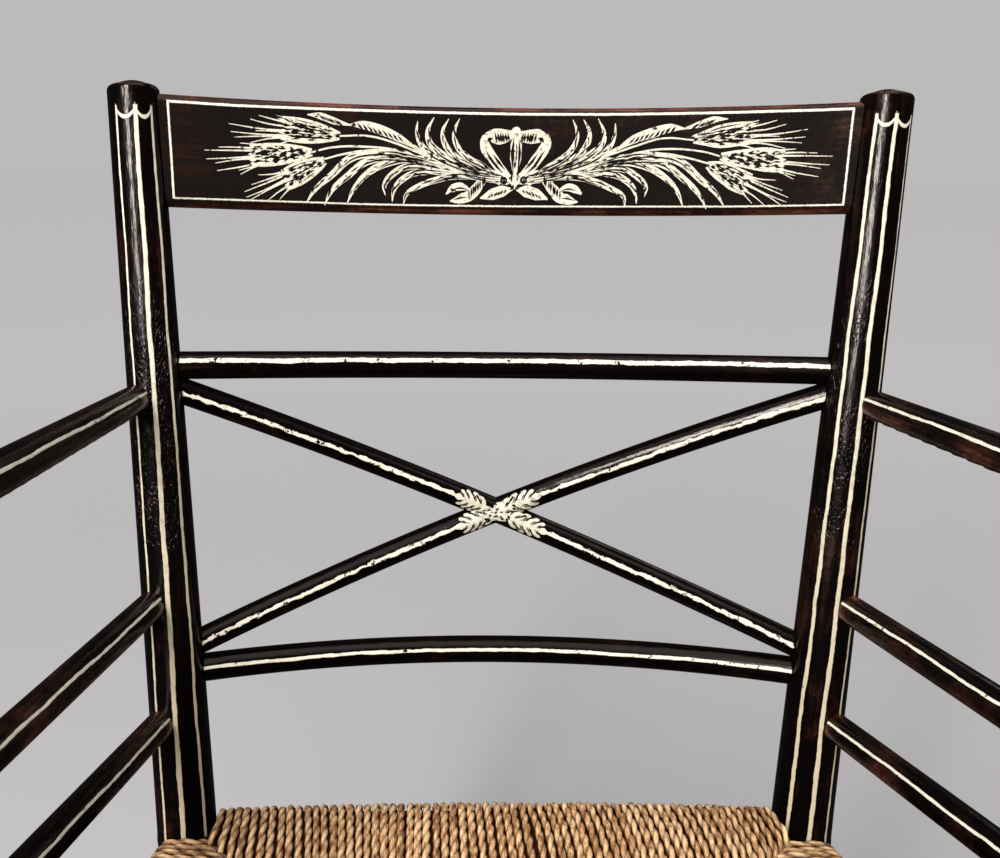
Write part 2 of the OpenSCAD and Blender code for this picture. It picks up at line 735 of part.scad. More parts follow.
back_post(left);  // back_post_left
back_post(right);  // back_post_right
front_post(left);  // front_post_left
front_post(right);  // front_post_right
crest_tablet();
upper_cross_rail();
lower_cross_rail();
brace_falling();
brace_rising();
arm(left);  // arm_left
arm(right);  // arm_right
upper_arm_rail(left);  // upper_arm_rail_left
upper_arm_rail(right);  // upper_arm_rail_right
lower_arm_rail(left);  // lower_arm_rail_left
lower_arm_rail(right);  // lower_arm_rail_right
seat_rail_front();
seat_rail_back();
seat_side_rail(left);  // seat_rail_left
seat_side_rail(right);  // seat_rail_right
woven_seat();
front_stretcher(front_stretcher_high_z);  // front_stretcher_upper
front_stretcher(front_stretcher_low_z);  // front_stretcher_lower
side_stretcher(left, side_stretcher_high_z);  // left_stretcher_upper
side_stretcher(left, side_stretcher_low_z);  // left_stretcher_lower
side_stretcher(right, side_stretcher_high_z);  // right_stretcher_upper
side_stretcher(right, side_stretcher_low_z);  // right_stretcher_lower
back_stretcher();
joint_pegs();
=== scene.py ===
import math
import random
from functools import partialmethod

import bmesh
import bpy
from mathutils import Matrix, Vector, noise


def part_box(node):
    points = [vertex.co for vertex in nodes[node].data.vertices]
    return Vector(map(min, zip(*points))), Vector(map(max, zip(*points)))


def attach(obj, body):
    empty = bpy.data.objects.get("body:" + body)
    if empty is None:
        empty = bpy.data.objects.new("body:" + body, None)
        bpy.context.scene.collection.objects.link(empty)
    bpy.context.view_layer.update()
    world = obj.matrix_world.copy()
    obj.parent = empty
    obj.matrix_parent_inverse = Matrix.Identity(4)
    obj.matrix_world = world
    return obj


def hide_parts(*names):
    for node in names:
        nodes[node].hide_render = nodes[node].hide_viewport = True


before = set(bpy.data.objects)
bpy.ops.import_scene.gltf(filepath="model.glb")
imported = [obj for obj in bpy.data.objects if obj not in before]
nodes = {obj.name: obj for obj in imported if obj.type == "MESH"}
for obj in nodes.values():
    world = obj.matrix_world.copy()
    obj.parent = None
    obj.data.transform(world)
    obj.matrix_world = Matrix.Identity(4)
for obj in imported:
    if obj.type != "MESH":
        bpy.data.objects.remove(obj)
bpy.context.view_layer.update()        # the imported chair: bodies, nodes, joints and record
print("frame loaded:", len(nodes), "nodes")

# The camera, over the front of the seat
photoView = {
    "lens": 36.0,
    "sensor": 36.0,
    "shift": (0.075, 0.061),
    "place": (-0.053, -0.3739, 0.8452),
    "pitch": 18.25,  # degrees below the horizon
    "yaw": 0.71,  # degrees to the right
    "roll": 0.63,
}


def turn(axis, degrees):
    return Matrix.Rotation(math.radians(degrees), 4, axis)


def addObject(name, data):
    made = bpy.data.objects.new(name, data)
    bpy.context.scene.collection.objects.link(made)
    return made


def addCamera(view):
    data = bpy.data.cameras.new("photoCamera")
    data.lens, data.sensor_width = view["lens"], view["sensor"]
    data.shift_x, data.shift_y = view["shift"]
    data.clip_start, data.clip_end = 0.02, 200
    camera = addObject("photoCamera", data)
    camera.matrix_world = (Matrix.Translation(view["place"]) @ turn("Z", -view["yaw"])
                           @ turn("X", 90 - view["pitch"]) @ turn("Z", view["roll"]))
    bpy.context.scene.camera = camera


addCamera(photoView)
print("camera placed")

# The sizes of the chair that the rest follows, in metres
chair = {
    "seatHeight": 0.441,
    "backHeight": 0.885,
    "seatDepth": 0.38,
    "backSpan": 0.386,
    "topSpan": 0.418,
    "frontSpan": 0.508,
    "rake": 8.2,  # degrees
    "footBack": 0.044,
    "footOut": 0.006,
    "armOutset": 0.006,  # from the back posts' middle out to the arms and their rails
}
frontY = sum(point.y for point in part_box("front_stretcher_upper")) / 2
kneeY = frontY + chair["seatDepth"]
rakeTan = math.tan(math.radians(chair["rake"]))


def backPoint(side, z, outset=0):  # a point on the centre line of a back post
    if z > chair["seatHeight"]:
        share = (z - chair["seatHeight"]) / (chair["backHeight"] - chair["seatHeight"])
        x = (chair["backSpan"] + (chair["topSpan"] - chair["backSpan"]) * share) / 2
        return Vector((side * (x + outset), kneeY + (z - chair["seatHeight"]) * rakeTan, z))
    share = 1 - z / chair["seatHeight"]
    x = chair["backSpan"] / 2 + chair["footOut"] * share
    return Vector((side * x, kneeY + chair["footBack"] * share, z))


def frontPoint(side, z):
    return Vector((side * chair["frontSpan"] / 2, frontY, z))


# A bowed bar lies on an arc round the Z axis of its own frame and bows towards +Y
class Bow:
    def __init__(self, half, bow, frameOfChord):
        self.radius = (half * half + bow * bow) / (2 * bow)
        self.matrix = frameOfChord @ Matrix.Translation((0, bow - self.radius, 0))

    def point(self, along, up, out):  # out is from the centre line towards the sitter
        angle = along / self.radius
        far = self.radius - out
        return self.matrix @ Vector((far * math.sin(angle), far * math.cos(angle), up))


def inBack(z):  # the frame of the raked back at a height
    return Matrix.Translation((0, backPoint(1, z).y, z)) @ turn("X", -chair["rake"])


bows = {
    "tablet": {"z": 0.849, "bow": 0.032},
    "upperRail": {"z": 0.731, "bow": 0.038},
    "lowerRail": {"z": 0.548, "bow": 0.044},
}
for name, size in bows.items():
    size["arc"] = Bow(backPoint(1, size["z"]).x, size["bow"], inBack(size["z"]))

braces = {"top": 0.722, "low": 0.559, "bow": 0.046, "radius": 0.0077}


def braceArc(way):  # way is 1 for the falling brace and -1 for the rising one
    stretch = math.cos(math.radians(chair["rake"]))
    start = Vector((-backPoint(1, braces["top"]).x, (braces["top"] - chair["seatHeight"]) / stretch))
    end = Vector((backPoint(1, braces["low"]).x, (braces["low"] - chair["seatHeight"]) / stretch))
    middle = (start + end) / 2
    tilt = math.degrees(math.atan2(start.y - end.y, end.x - start.x))
    chord = (inBack(chair["seatHeight"]) @ Matrix.Translation((way * middle.x, 0, middle.y))
             @ turn("Y", way * tilt))
    arc = Bow((end - start).length / 2, braces["bow"], chord)
    share = -start.x / (end.x - start.x)
    crossing = start + (end - start) * share
    arc.crossing = way * (crossing - middle).length * (1 if crossing.x > middle.x else -1)
    return arc


fallingArc, risingArc = braceArc(1), braceArc(-1)


class Wire:  # one output of a shader tree
    def __init__(self, socket):
        self.socket = socket

    def node(self, kind, plugs, output=0, **settings):  # fed with numbers, colours or wires
        tree = self.socket.id_data
        made = tree.nodes.new("ShaderNode" + kind)
        for key, value in settings.items():
            setattr(made, key, value)
        for key, value in plugs.items():
            if isinstance(value, Wire):
                tree.links.new(value.socket, made.inputs[key])
            else:
                made.inputs[key].default_value = value
        return Wire(made.outputs[output])

    def math(self, operation, *others):
        return self.node("Math", dict(enumerate((self, *others))), operation=operation)

    __add__ = __radd__ = partialmethod(math, "ADD")
    __sub__ = partialmethod(math, "SUBTRACT")
    __mul__ = __rmul__ = partialmethod(math, "MULTIPLY")
    __truediv__ = partialmethod(math, "DIVIDE")
    __pow__ = partialmethod(math, "POWER")
    __or__ = partialmethod(math, "MAXIMUM")  # the larger of two masks
    __neg__ = partialmethod(math, "MULTIPLY", -1)
    __abs__ = partialmethod(math, "ABSOLUTE")

    def __rsub__(self, other):
        return -self + other

    def __rtruediv__(self, other):
        return self ** -1 * other

    def ramp(self, low, high):  # 0 at low, 1 at high
        plugs = {"Value": self, "From Min": low, "From Max": high}
        return self.node("MapRange", plugs, interpolation_type="SMOOTHSTEP")

    def stripe(self, half, soft=0.0002):  # 1 where this is under half
        return self.ramp(half + soft, half - soft)

    def stretched(self, x, y, z):
        return self.node("VectorMath", {0: self, 1: (x, y, z)}, operation="MULTIPLY")

    def parts(self):
        return [self.node("SeparateXYZ", {0: self}, output=number) for number in range(3)]

    def joined(self, y, z):
        return self.node("CombineXYZ", {0: self, 1: y, 2: z})

    def noise(self, scale, detail=3, roughness=0.5):
        plugs = {"Vector": self, "Scale": scale, "Detail": detail, "Roughness": roughness}
        return self.node("TexNoise", plugs)

    def shaken(self, reach, scale, detail=3, roughness=0.5):  # noise round 0
        return (self.noise(scale, detail, roughness) - 0.5) * reach

    def cracks(self, scale):
        plugs = {"Vector": self, "Scale": scale}
        return self.node("TexVoronoi", plugs, feature="DISTANCE_TO_EDGE")

    def blend(self, first, second):  # a colour between two, by this mask
        plugs = {0: self, 6: first, 7: second}
        return self.node("Mix", plugs, output=2, data_type="RGBA")


class Finish:  # a material in the making
    def __init__(self, name):
        self.material = bpy.data.materials.new(name)
        self.material.use_nodes = True
        tree = self.material.node_tree
        tree.nodes.clear()
        self.shader = tree.nodes.new("ShaderNodeBsdfPrincipled")
        output = tree.nodes.new("ShaderNodeOutputMaterial")
        tree.links.new(self.shader.outputs[0], output.inputs[0])
        self.place = Wire(tree.nodes.new("ShaderNodeTexCoord").outputs["Object"])

    def attribute(self, name, output):
        return self.place.node("Attribute", {}, output, attribute_name=name)

    def within(self, matrix):  # the place in another frame
        return self.place.node("Mapping", {
            "Vector": self.place,
            "Location": matrix.to_translation(),
            "Rotation": matrix.to_euler("XYZ"),
        }, vector_type="TEXTURE")

    def set(self, **sockets):  # wires are linked, constants are set
        for key, value in sockets.items():
            socket = self.shader.inputs[key.replace("_", " ")]
            if isinstance(value, Wire):
                self.material.node_tree.links.new(value.socket, socket)
            else:
                socket.default_value = value

    def relief(self, height, distance):
        self.set(Normal=height.node("Bump", {"Height": height, "Distance": distance}))


def barFrame(start, end, face):  # Z along the bar, and -Y towards the face
    z = (end - start).normalized()
    y = -(Vector(face) - z * z.dot(Vector(face))).normalized()
    x = y.cross(z)
    matrix = Matrix((x, y, z)).transposed().to_4x4()
    matrix.translation = start
    return matrix


class Spot:  # a place on a bar: along it, round it and across it
    def __init__(self, along, right, back):
        self.along = along
        self.angle = right.math("ARCTAN2", -back)
        self.section = right.joined(back, along)


def barSpot(finish, start, end, face):
    x, y, z = finish.within(barFrame(start, end, face)).parts()
    return Spot(z, x, y)


def bowSpot(finish, arc):
    x, y, z = finish.within(arc.matrix).parts()
    far = (x * x + y * y).math("SQRT")
    return Spot(x.math("ARCTAN2", y) * arc.radius, z, far - arc.radius)


# Japanned black over brown wood, rubbed by hands and cloth
lacquer = {
    "black": (0.0018, 0.0011, 0.001, 1),
    "brown": (0.024, 0.0062, 0.004, 1),
    "rust": (0.15, 0.046, 0.026, 1),
    "sheen": (1.0, 0.86, 0.79, 1),
    "gloss": 0.42,  # specular level
    "roughness": 0.13,
    "brownAt": (0.51, 0.66),  # how rubbed the wood starts to show, and shows all over
    "rustAt": (0.63, 0.75),
    "relief": 0.0005,
    "grain": (420, 420, 26),  # scales of the noises: across a bar and along it
    "waves": (150, 150, 42),
    "patches": 21,
    "specks": 330,
}
# Cream lining and painting
cream = {
    "fresh": (0.8, 0.755, 0.615, 1),
    "aged": (0.52, 0.44, 0.29, 1),
    "roughness": 0.48,
    "lost": 0.3,  # noise under which a line is rubbed away
    "edge": (620, 620, 170),  # scales of the noises
    "flakes": 110,
    "chips": 560,
    "stain": 160,
}


def linesOn(spot, radius, length, lines, ragged=0.001):
    rough = spot.section.stretched(*cream["edge"]).shaken(ragged, 1, 4, 0.6)
    wander = spot.along.joined(0.0, 0.0).shaken(0.003, 18)
    brush = spot.along.joined(7.0, 0.0).noise(48, 2) * 0.8 + 0.6
    mask = None
    for start, end, width in lines:  # degrees at both ends, and metres
        slope = math.radians(end - start) / length
        middle = spot.along * slope + math.radians(start)
        off = abs((spot.angle - middle) * radius + wander) + rough
        half = brush * (width / 2)
        line = off.stripe(half, 0.00016)
        mask = line if mask is None else mask | line
    return mask


def lacquered(finish, spot, wear=0.0, lines=None, crackle=None, lost=cream["lost"],
              ground=lacquer["black"], ageAndShade=0.0):
    place = finish.place
    grain = spot.section.stretched(*lacquer["grain"]).noise(1, 4, 0.6)
    waves = spot.section.stretched(*lacquer["waves"]).noise(1, 4, 0.62)
    patches = place.noise(lacquer["patches"], 4, 0.6)
    specks = place.noise(lacquer["specks"], 3, 0.6)
    rubbed = patches * 0.55 + grain * 0.3 + specks * 0.15 + wear
    brown, rust = rubbed.ramp(*lacquer["brownAt"]), rubbed.ramp(*lacquer["rustAt"])
    color = rust.blend(brown.blend(ground, lacquer["brown"]), lacquer["rust"])
    roughness = lacquer["roughness"] + patches * 0.07 + specks * 0.05 + brown * 0.1
    height = grain * 0.3 + waves * 0.7
    if crackle is not None:
        height = height - crackle
    if lines is not None:
        kept = place.noise(cream["flakes"], 4, 0.6) * 0.55 + place.noise(cream["chips"], 3, 0.6) * 0.45
        paint = lines * kept.ramp(lost, lost + 0.04)
        # real stains, plus what is passed in: for the posts, age and painted shade
        stain = place.noise(cream["stain"]).ramp(0.46, 0.95) + ageAndShade
        color = paint.blend(color, stain.blend(cream["fresh"], cream["aged"]))
        roughness = roughness + paint * (cream["roughness"] - lacquer["roughness"])
        height = height + paint * 0.35
    finish.set(Base_Color=color, Roughness=roughness, Specular_Tint=lacquer["sheen"],
               Specular_IOR_Level=lacquer["gloss"])
    finish.relief(height, lacquer["relief"])
    return finish.material


def dress(nodeName, material):
    mesh = nodes[nodeName].data
    mesh.materials.clear()
    mesh.materials.append(material)


# Lines down the posts: degrees from the front at the seat and at the top, and width
posts = {
    "left": [(-33, -29, 0.0014), (5.6, 16, 0.0025), (50, 53, 0.0016)],
    "right": [(-50, -42, 0.002), (-7, 0, 0.0023), (30, 44, 0.0014)],
    "radius": 0.0155,
    "peak": 0.015,  # from the top down to where the scallops hang from
    "hang": 0.0062,
    "scallop": 0.0021,
    "crackle": (0.6, 0.8),  # heights between which the lacquer has cracked
    "ageAndShade": (0.82, 0.48),  # and over which the lines are painted duller downwards, as painted shade
    "rim": (0.0052, 0.003),  # under the top of the cap the lacquer is rubbed
    "cracks": (520, 520, 330),
}
sides = {"left": -1, "right": 1}


def postFinish(sideName, side):
    finish = Finish("lacquer.back_post_" + sideName)
    knee, top = backPoint(side, chair["seatHeight"]), backPoint(side, chair["backHeight"])
    long = (top - knee).length
    upper = barSpot(finish, knee, top, (0, -1, 0))
    lower = barSpot(finish, knee, knee * 2 - backPoint(side, 0), (0, -1, 0))
    z = finish.place.parts()[2]
    isUpper = z.ramp(chair["seatHeight"] - 0.001, chair["seatHeight"] + 0.001)
    spot = upper
    spot.angle = lower.angle + (upper.angle - lower.angle) * isUpper
    lines = linesOn(spot, posts["radius"], long, posts[sideName])
    peak = long - posts["peak"]
    lines = lines * spot.along.stripe(peak, 0.0003)
    # Two scallops hang between the tops of the three lines
    for (_, first, _), (_, second, _) in zip(posts[sideName], posts[sideName][1:]):
        share = (spot.angle - math.radians(first)) / math.radians(second - first)
        inside = share.ramp(-0.03, 0.0) * share.ramp(1.03, 1.0)
        low = peak - (share * math.pi).math("SINE").math("MAXIMUM", 0.0) ** 0.55 * posts["hang"]
        swag = abs(spot.along - low) + finish.place.shaken(0.0006, 700, 2)
        lines = lines | (swag.stripe(posts["scallop"] / 2) * inside)
    low, high = posts["crackle"]
    cracked = z.ramp(low, low + 0.05) * z.ramp(high, high - 0.06)
    cracked = cracked * finish.place.noise(30, 2).ramp(0.4, 0.55)
    crackle = spot.section.stretched(*posts["cracks"]).cracks(1).ramp(0.12, 0.0) * cracked * 0.4
    wear = spot.along.ramp(*(long - down for down in posts["rim"])) * 0.16
    # the lines' cream is aged a little all over, and painted darker towards the seat as painted shade
    ageAndShade = z.ramp(*posts["ageAndShade"]) * 0.7 + 0.22
    dress("back_post_" + sideName, lacquered(finish, spot, wear, lines, crackle, ageAndShade=ageAndShade))


for sideName, side in sides.items():
    postFinish(sideName, side)

# The bowed bars: each line's degrees above the middle of the front, and its width
bowedBars = {
    "upper_cross_rail": {"arc": bows["upperRail"]["arc"], "radius": 0.0081, "line": (22, 0.0027),
                         "ragged": 0.002, "lost": 0.375},
    "lower_cross_rail": {"arc": bows["lowerRail"]["arc"], "radius": 0.0087, "line": (14, 0.0021),
                         "ragged": 0.0012, "lost": 0.375},
}
for name, arc in (("brace_falling", fallingArc), ("brace_rising", risingArc)):
    bowedBars[name] = {"arc": arc, "radius": braces["radius"], "line": (2, 0.0023),
                       "ragged": 0.0042, "lost": 0.4}
for name, bar in bowedBars.items():
    finish = Finish("lacquer." + name)
    spot = bowSpot(finish, bar["arc"])
    degrees, width = bar["line"]
    lines = linesOn(spot, bar["radius"], 1.0, [(degrees, degrees, width)], bar["ragged"])
    dress(name, lacquered(finish, spot, -0.03, lines, lost=bar["lost"]))

# The tablet: a thin cream border on its front, and edges rubbed to the wood
tablet = {
    "thick": 0.015,
    "border": (0.1935, 0.0258),  # half its length and half its height
    "lean": 0.035,  # how much the border's ends lean apart
    "width": {"side": 0.00115, "top": 0.0014, "bottom": 0.0009},
    "edge": (0.0262, 0.0287),  # off the middle, where the lacquer is rubbed
    "aside": 0.005,  # the ornament, to the right
    # the tablet's own warmer black, painted lighter than the other wood as painted sheen on its face
    "ground": (0.0078, 0.0054, 0.0047, 1),
}


def tabletFinish():
    finish = Finish("tabletLacquer")
    spot = bowSpot(finish, bows["tablet"]["arc"])
    up = finish.within(bows["tablet"]["arc"].matrix).parts()[2]
    rough = finish.place.shaken(0.0006, 700, 2)
    wander = finish.place.shaken(0.0016, 9, 2)
    half, high = tablet["border"]
    beyond = abs(spot.along) - up * tablet["lean"] - half
    reach = abs(up).stripe(high + 0.0004, 0.0001)
    span = beyond.stripe(0.0004, 0.0001)
    border = (abs(beyond + wander) + rough).stripe(tablet["width"]["side"] / 2) * reach
    for rail, level in (("top", high), ("bottom", -high)):
        off = abs(up - level + wander) + rough
        border = border | (off.stripe(tablet["width"][rail] / 2) * span)
    front = spot.angle.math("COSINE").ramp(0.0, 0.1)
    wear = abs(up).ramp(*tablet["edge"]) * 0.17 - 0.006
    spot.section = up.joined(up * 0.3, spot.along)
    return lacquered(finish, spot, wear, border * front, ground=tablet["ground"])


dress("crest_tablet", tabletFinish())


def straightBar(name, start, end, face, radius, lines):  # lines of degrees and width
    finish = Finish("lacquer." + name)
    spot = barSpot(finish, start, end, face)
    lines = [(degrees, degrees, width) for degrees, width in lines]
    return finish, spot, linesOn(spot, radius, 1.0, lines)


# Bars forward from the back posts: heights at both ends, and the line's degrees from the top
sideBars = {
    "arm": {"z": (0.7145, 0.7245), "radius": 0.0095, "line": (60, 0.0017)},
    "upper_arm_rail": {"z": (0.594, 0.626), "radius": 0.0085, "line": (52, 0.0015)},
    "lower_arm_rail": {"z": (0.52, 0.576), "radius": 0.0085, "line": (55, 0.0015)},
}
for name, bar in sideBars.items():
    for sideName, side in sides.items():
        low, high = bar["z"]
        degrees, width = bar["line"]
        start, end = backPoint(side, low, chair["armOutset"]), frontPoint(side, high)
        finish, spot, lines = straightBar(
            name + "_" + sideName, start, end, (0, 0, 1), bar["radius"], [(degrees * side, width)])
        wear = abs(spot.angle).ramp(0.9, 2.2) * 0.09 + spot.along.ramp(0.034, 0.016) * 0.08 + 0.02
        dress(name + "_" + sideName, lacquered(finish, spot, wear, lines, lost=0.37))

# The front posts: three lines down the front, and cream rings
legs = {
    "radius": 0.015,
    "lines": ((-38, 0.002), (0, 0.0024), (38, 0.002)),
    "rings": (0.3965, 0.5055, 0.698),
    "ring": 0.0034,
}
for sideName, side in sides.items():
    name = "front_post_" + sideName
    finish, spot, lines = straightBar(
        name, frontPoint(side, 0), frontPoint(side, 0.4), (0, -1, 0), legs["radius"], legs["lines"])
    for height in legs["rings"]:
        off = abs(spot.along - height) + finish.place.shaken(0.001, 500, 2)
        lines = lines | off.stripe(legs["ring"] / 2)
    dress(name, lacquered(finish, spot, 0.03, lines))

# The stretchers have one line on the outside
stretchers = {
    "radius": 0.0086,
    "line": (0, 0.0024),
    "front": (0.335, 0.208),
    "left": (0.285, 0.15),
    "right": (0.285, 0.15),
    "back": 0.235,
}
for sideName in ("left", "right", "front"):
    for level, z in zip(("upper", "lower"), stretchers[sideName]):
        name, side = sideName + "_stretcher_" + level, sides.get(sideName, -1)
        start, end, face = backPoint(side, z), frontPoint(side, z), (side, 0, 0.3)
        if sideName == "front":
            start, end, face = frontPoint(-1, z), frontPoint(1, z), (0, -1, 0.3)
        finish, spot, lines = straightBar(
            name, start, end, face, stretchers["radius"], [stretchers["line"]])
        dress(name, lacquered(finish, spot, 0.03, lines))

# Wood without lines
plainBars = {"back_stretcher": [backPoint(side, stretchers["back"]) for side in (-1, 1)] + [0.03]}
for name in ("seat_rail_front", "seat_rail_back", "seat_rail_left", "seat_rail_right", "joint_pegs"):
    plainBars[name] = [*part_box(name), 0.05]
for name, (start, end, wear) in plainBars.items():
    finish = Finish("lacquer." + name)
    dress(name, lacquered(finish, barSpot(finish, start, end, (0, 0, 1)), wear))
print("wood finished")


def makePiece(name, bm, material):
    mesh = bpy.data.meshes.new(name)
    bm.to_mesh(mesh)
    bm.free()
    mesh.materials.append(material)
    return addObject(name, mesh)


# The seat: cord laid side by side over four rails, in panels that meet along the mitres
seat = {
    "rail": 0.011,  # radius of the rails
    "cord": 0.0052,  # thickness of the cord
    "pitch": 0.00532,
    "first": 0.0214,  # from the middle of a post to the first cord
    "bunch": 0.006,  # how far from a post the cords still bend round it
    "hug": 0.15,  # and how closely
    "rise": 0.016,  # how much higher the front rail lies
    "stagger": 0.0135,  # how much lower the side rails lie
    "fade": 0.11,  # inset at which the side panels are level again
    "pile": 0.008,  # of the cords over the side rails
    "crown": 0.006,
    "valley": 0.0025,
    "deepest": 0.1895,
    "top": ((0, 0), (0.022, 0.0024), (0.06, 0.004), (0.12, 0.004), (0.19, 0.002)),
    "crownShare": ((0, 1), (0.022, 1), (0.06, 0.8), (0.12, 0.4), (0.19, 0)),
    "valleyShare": ((0, 0), (0.022, 0.6), (0.06, 1), (0.19, 1)),
    "under": ((0, -0.01365), (0.07, -0.0112), (0.19, -0.0088)),
    "lay": 0.0245,  # length in which the two plies turn once
    "groove": 0.4,  # depth between the plies, as a share of the radius
    # How far the cords of the back run to the right as they come forward, from right to left
    "drift": ((0, 0.054), (0.165, 0.066), (0.236, -0.036), (0.313, 0.144), (0.386, 0.024)),
    "driftEnd": 0.06,  # inset in which that fades out
    "parting": 0.172,  # where along the back two cords have come apart, and how far
    "apart": 0.0015,
    "apartAt": (0.03, 0.12),  # insets at which they are fully apart, and together again
    "pushed": 0.0035,  # how much higher the back's cords lie at its right end
    "ring": 0.0021,  # between rings of vertices, above and under the seat
    "ringUnder": 0.005,
    "uneven": 0.0004,
    "thick": (0.88, 1.06),
    "sway": 0.0015,
    "swayFree": 0.06,  # how far from a post a cord sways fully
    "step": 0.0015,  # between the points of a cord
    "dive": (0.005, 0.0035),  # length before the mitre in which a cord dives, and depth
    "inside": 0.004,  # the stuffing, inside the seat's form
    "extraShade": 0.2,  # how much darker the side panels are painted, as painted shade
    "turned": 0.5,  # and the cords where they turn down, also painted shade
    "ends": 0.45,  # and those near a post, in this length, also painted shade
    "endsLength": 0.14,
    "seed": 11,
}


def between(steps, x):  # straight between the steps of a table
    for (x0, y0), (x1, y1) in zip(steps, steps[1:]):
        if x <= x1:
            return y0 + (y1 - y0) * (x - x0) / (x1 - x0)
    return steps[-1][1]


class Panel:  # the cords of one rail: 0 front, 1 right, 2 back, 3 left
    def __init__(self, number):
        front, back = chair["frontSpan"] / 2, chair["backSpan"] / 2
        corners = [Vector((-front, frontY)), Vector((front, frontY)),
                   Vector((back, kneeY)), Vector((-back, kneeY))]
        start, end, after, before = corners[number:] + corners[:number]
        self.number, self.isSide = number, number % 2
        self.start, self.long = start, (end - start).length
        self.way = (end - start).normalized()
        self.inward = Vector((-self.way.y, self.way.x))
        self.steep = [math.tan(self.way.angle(edge) / 2) for edge in (before - start, end - after)]

    def point(self, place, inset, up):
        flat = self.start + self.way * place + self.inward * inset
        level = chair["seatHeight"] + seat["rise"] * (kneeY - flat.y) / chair["seatDepth"]
        drop = seat["stagger"] * self.isSide * max(0, 1 - max(inset, 0) / seat["fade"])
        return Vector((flat.x, flat.y, level - drop + up))

    def top(self, place, inset):  # height of the upper cords' middle over the rail's
        low, high = inset / self.steep[0], self.long - inset / self.steep[1]
        share = min(max((place - low) / max(high - low, 0.001), 0), 1)
        bump = 1 - (2 * share - 1) ** 2
        pile = seat["pile"] * self.isSide * max(0, 1 - inset / seat["fade"])
        if self.number == 2:
            pile = seat["pushed"] * (1 - share) ** 2 * max(0, 1 - inset / seat["fade"])
        return (seat["rail"] + seat["cord"] / 2 + pile + between(seat["top"], inset)
                + seat["crown"] * bump * between(seat["crownShare"], inset)
                - seat["valley"] * (1 - bump) * between(seat["valleyShare"], inset))

    def lie(self, place, inset):  # beside a post a cord bends round it
        moved = place
        for near, sign in ((place, -1), (self.long - place, 1)):
            share = seat["hug"] * math.exp((seat["first"] - near) / seat["bunch"])
            moved += sign * share * (near - math.sqrt(max(near ** 2 - inset ** 2, 0)))
        loose = min(place, self.long - place, seat["swayFree"]) / seat["swayFree"]
        sway = noise.noise(Vector((place * 8, inset * 13, self.number * 7.3)))
        moved += sway * seat["sway"] * loose
        if self.number == 2:
            soon = seat["driftEnd"] * (1 - math.exp(-inset / seat["driftEnd"]))
            moved -= between(seat["drift"], place) * soon
            off = place - seat["parting"]
            full, closed = seat["apartAt"]
            wide = min(inset / full, 1) * max(0, 1 - inset / closed)
            moved += math.copysign(seat["apart"], off) * math.exp(-abs(off) / 0.02) * wide
        return moved

    def cord(self, place):  # the middle of one cord, from its mitre over the rail and back under
        run, inset = [], 0.0
        before, down = seat["dive"]
        while True:
            at = self.lie(place, inset)
            left = min(at * self.steep[0], (self.long - at) * self.steep[1], seat["deepest"]) - inset
            run.append((at, inset, max(0, 1 - left / before) ** 2 * down))
            if left < -seat["step"]:
                break
            inset += seat["step"]
        upper = [self.point(at, inset, self.top(at, inset) - dive) for at, inset, dive in run]
        under = [self.point(at, inset, between(seat["under"], inset) + dive) for at, inset, dive in run]
        radius = seat["rail"] + seat["cord"] / 2
        turned = []
        for step in range(1, 12):
            angle = math.pi * step / 12
            tall = self.top(place, 0) if step < 6 else radius
            turned.append(self.point(place, -radius * math.sin(angle), tall * math.cos(angle)))
        return upper[::-1] + turned, under


twists = {}


def twistedCord(rings):  # a straight cord of two plies
    if rings not in twists:
        bm = bmesh.new()
        bmesh.ops.create_circle(bm, segments=8, radius=seat["cord"] / 2)
        for vert in bm.verts:
            vert.co *= 1 - seat["groove"] * (1 - abs(vert.co.normalized().x))
        turns = (rings - 1) * seat["ring"] / seat["lay"]
        bmesh.ops.spin(bm, geom=bm.verts[:] + bm.edges[:], axis=(0, 0, 1), dvec=(0, 0, seat["ring"]),
                       angle=turns * math.tau, steps=rings - 1)
        bmesh.ops.holes_fill(bm, edges=bm.edges[:], sides=8)
        bmesh.ops.recalc_face_normals(bm, faces=bm.faces[:])
        twists[rings] = bpy.data.meshes.new("twist")
        bm.to_mesh(twists[rings])
        bm.free()
    return twists[rings]


def ringsAlong(upper, under):  # place and direction of each ring of a cord
    points = upper + under
    far = [0.0]
    for first, second in zip(points, points[1:]):
        far.append(far[-1] + (second - first).length)
    fine = far[len(upper)]
    stops = [seat["ring"] * step for step in range(int(fine / seat["ring"]))]
    while stops[-1] + seat["ringUnder"] < far[-1]:
        stops.append(stops[-1] + seat["ringUnder"])
    rings, number = [], 0
    for stop in stops:
        while far[number + 1] < stop:
            number += 1
        step = points[number + 1] - points[number]
        share = (stop - far[number]) / (far[number + 1] - far[number])
        rings.append((points[number] + step * share, step.normalized(), stop))
    return rings


